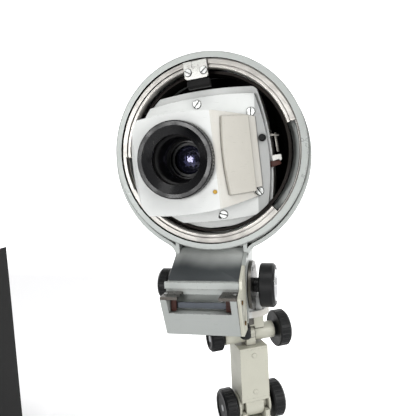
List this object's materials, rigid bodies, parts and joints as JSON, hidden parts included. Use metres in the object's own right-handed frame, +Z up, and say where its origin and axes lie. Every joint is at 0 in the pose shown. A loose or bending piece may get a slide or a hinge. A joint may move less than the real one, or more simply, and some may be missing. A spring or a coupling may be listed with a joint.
{
  "type": "webcam on tripod",
  "caption": "Camera head with offset lens in a round ring housing, on a clamped folding arm with shoe block, knobs and a folding table tripod.",
  "frame": {"origin": "mouth of the threaded hole under the tripod hub, on the vertical axis of the hub, arm and pan joint", "axes": "+Z up; the camera looks along -Y; +X is to the right for someone who faces the lens"},
  "size_m": [0.2751, 0.2868, 0.462],
  "materials": {
    "casting_paint": "light cool grey stove paint on cast aluminium, worn and chipped on the edges",
    "body_paint": "near-white satin paint on thin aluminium",
    "cream_paint": "cream-beige satin paint on aluminium, slightly soiled",
    "machined_metal": "turned bare metal with fine circular tool marks",
    "leg_metal": "brushed bare aluminium tube",
    "steel": "plated steel, lightly scratched",
    "bright_steel": "polished bright steel",
    "brass": "dull brass",
    "black_plastic": "matte black moulded plastic, slightly greyed",
    "black_metal": "black anodised aluminium, scratched on the edges",
    "inside_black": "dull black paint inside the lens well",
    "strip_paint": "warm beige-grey satin paint",
    "yellow_paint": "yellow enamel dot",
    "rubber": "black rubber",
    "lens_glass": "coated dark lens glass",
    "board_green": "green circuit board"
  },
  "bodies": {
    "stand": {"tripod_hub": "cream_paint", "thread_insert": "brass", "leg_pins": "steel", "yoke": "cream_paint", "yoke_washers": "cream_paint"},
    "leg_a": {"leg_1": "leg_metal", "foot_1": "rubber"},
    "leg_b": {"leg_2": "leg_metal", "foot_2": "rubber"},
    "leg_c": {"leg_3": "leg_metal", "foot_3": "rubber"},
    "base_clamp": {"base_bolt": "steel", "base_knob_right": "black_plastic", "base_knob_left": "black_plastic"},
    "arm": {"arm_tube": "cream_paint", "arm_tongue": "cream_paint", "arm_ear": "cream_paint", "arm_rivets": "steel"},
    "elbow": {"knuckle": "cream_paint", "pan_bush": "brass"},
    "pan_lock_screw": {"pan_lock": "black_metal"},
    "elbow_clamp": {"elbow_bolt": "steel", "elbow_knob_right": "black_plastic", "elbow_knob_left": "black_plastic"},
    "head": {"head_base": "body_paint", "pan_spindle": "steel", "sector_plate": "steel", "sector_screws": "steel"},
    "tilt_clamp": {"tilt_bolt": "steel", "tilt_knob_right": "black_plastic", "tilt_knob_left": "black_plastic", "tilt_cap": "bright_steel"},
    "bracket": {"ring_bracket": "casting_paint", "inner_ring": "machined_metal", "rear_dome": "casting_paint", "dome_screws": "steel", "rear_socket": "steel", "latch_plate": "steel", "latch_screws": "steel", "side_cover": "body_paint", "cover_screws": "brass", "shoe_block": "casting_paint", "jaw_plates": "steel", "jaw_screws": "steel"},
    "catch": {"latch_catch": "black_plastic"},
    "shoe_clamp": {"clamp_bar": "steel"},
    "camera": {"carrier_hoop": "machined_metal", "body_shell": "body_paint", "front_plate": "body_paint", "plate_screws": "steel", "nose_housing": "body_paint", "side_strip": "strip_paint", "marker_dot": "yellow_paint", "sensor_board": "board_green", "sensor_tube": "steel"},
    "focus": {"focus_ring": "black_metal"},
    "lens": {"lens_barrel": "inside_black", "front_glass": "lens_glass", "rear_glass": "lens_glass"},
    "button": {"index_button": "black_plastic"}
  },
  "joints": [
    {"name": "leg_a_fold", "type": "hinge", "parent": "stand", "child": "leg_a", "pos_m": [-0.01469, -0.02022, 0.012], "axis": [0.809, -0.5878, 0], "range_deg": [0, 58]},
    {"name": "leg_b_fold", "type": "hinge", "parent": "stand", "child": "leg_b", "pos_m": [0.02486, -0.00261, 0.012], "axis": [0.1045, 0.9945, 0], "range_deg": [0, 58]},
    {"name": "leg_c_fold", "type": "hinge", "parent": "stand", "child": "leg_c", "pos_m": [-0.01017, 0.02284, 0.012], "axis": [-0.9135, -0.4067, 0], "range_deg": [0, 58]},
    {"name": "base_clamp_turn", "type": "hinge", "parent": "stand", "child": "base_clamp", "pos_m": [0, 0, 0.06], "axis": [0.8572, 0.515, 0], "range_deg": [-90, 90]},
    {"name": "arm_tilt", "type": "hinge", "parent": "stand", "child": "arm", "pos_m": [0, 0, 0.06], "axis": [0.8572, 0.515, 0], "range_deg": [-45, 45]},
    {"name": "elbow_tilt", "type": "hinge", "parent": "arm", "child": "elbow", "pos_m": [0, 0, 0.13], "axis": [0.8572, 0.515, 0], "range_deg": [-60, 35]},
    {"name": "elbow_clamp_turn", "type": "hinge", "parent": "elbow", "child": "elbow_clamp", "pos_m": [0, 0, 0.13], "axis": [0.8572, 0.515, 0], "range_deg": [-90, 90]},
    {"name": "pan_lock_turn", "type": "hinge", "parent": "elbow", "child": "pan_lock_screw", "pos_m": [0.00087, -0.01698, 0.131], "axis": [0, 0, 1], "range_deg": [-180, 45]},
    {"name": "head_pan", "type": "hinge", "parent": "elbow", "child": "head", "pos_m": [0, 0, 0.151], "axis": [0, 0, 1], "range_deg": [-90, 90]},
    {"name": "tilt_clamp_turn", "type": "hinge", "parent": "head", "child": "tilt_clamp", "pos_m": [0, -0.017, 0.182], "axis": [1, 0, 0], "range_deg": [-90, 90]},
    {"name": "head_tilt", "type": "hinge", "parent": "head", "child": "bracket", "pos_m": [0, -0.017, 0.182], "axis": [1, 0, 0], "range_deg": [-30, 12]},
    {"name": "catch_slide", "type": "slide", "parent": "bracket", "child": "catch", "axis": [-0.0872, 0, 0.9962], "range_m": [0, 0.003], "stiffness_N_per_m": 300, "springref_m": -0.002},
    {"name": "shoe_clamp_slide", "type": "slide", "parent": "bracket", "child": "shoe_clamp", "axis": [0, 1, 0], "range_m": [0, 0.003], "stiffness_N_per_m": 800, "springref_m": -0.001},
    {"name": "camera_roll", "type": "hinge", "parent": "bracket", "child": "camera", "pos_m": [-0.023, -0.032, 0.303], "axis": [0, 1, 0], "range_deg": [-15, 15]},
    {"name": "focus_turn", "type": "hinge", "parent": "camera", "child": "focus", "pos_m": [-0.04167, -0.032, 0.29768], "axis": [0, 1, 0], "range_deg": [-60, 60]},
    {"name": "lens_slide", "type": "slide", "parent": "camera", "child": "lens", "axis": [0, 1, 0], "range_m": [-0.0025, 0.0025]},
    {"name": "button_press", "type": "slide", "parent": "camera", "child": "button", "axis": [0, 1, 0], "range_m": [0, 0.0015], "stiffness_N_per_m": 300, "springref_m": -0.001}
  ],
  "couplings": [
    {"joint": "focus_turn", "follows": "lens_slide", "rad_per_m": 418.87}
  ]
}
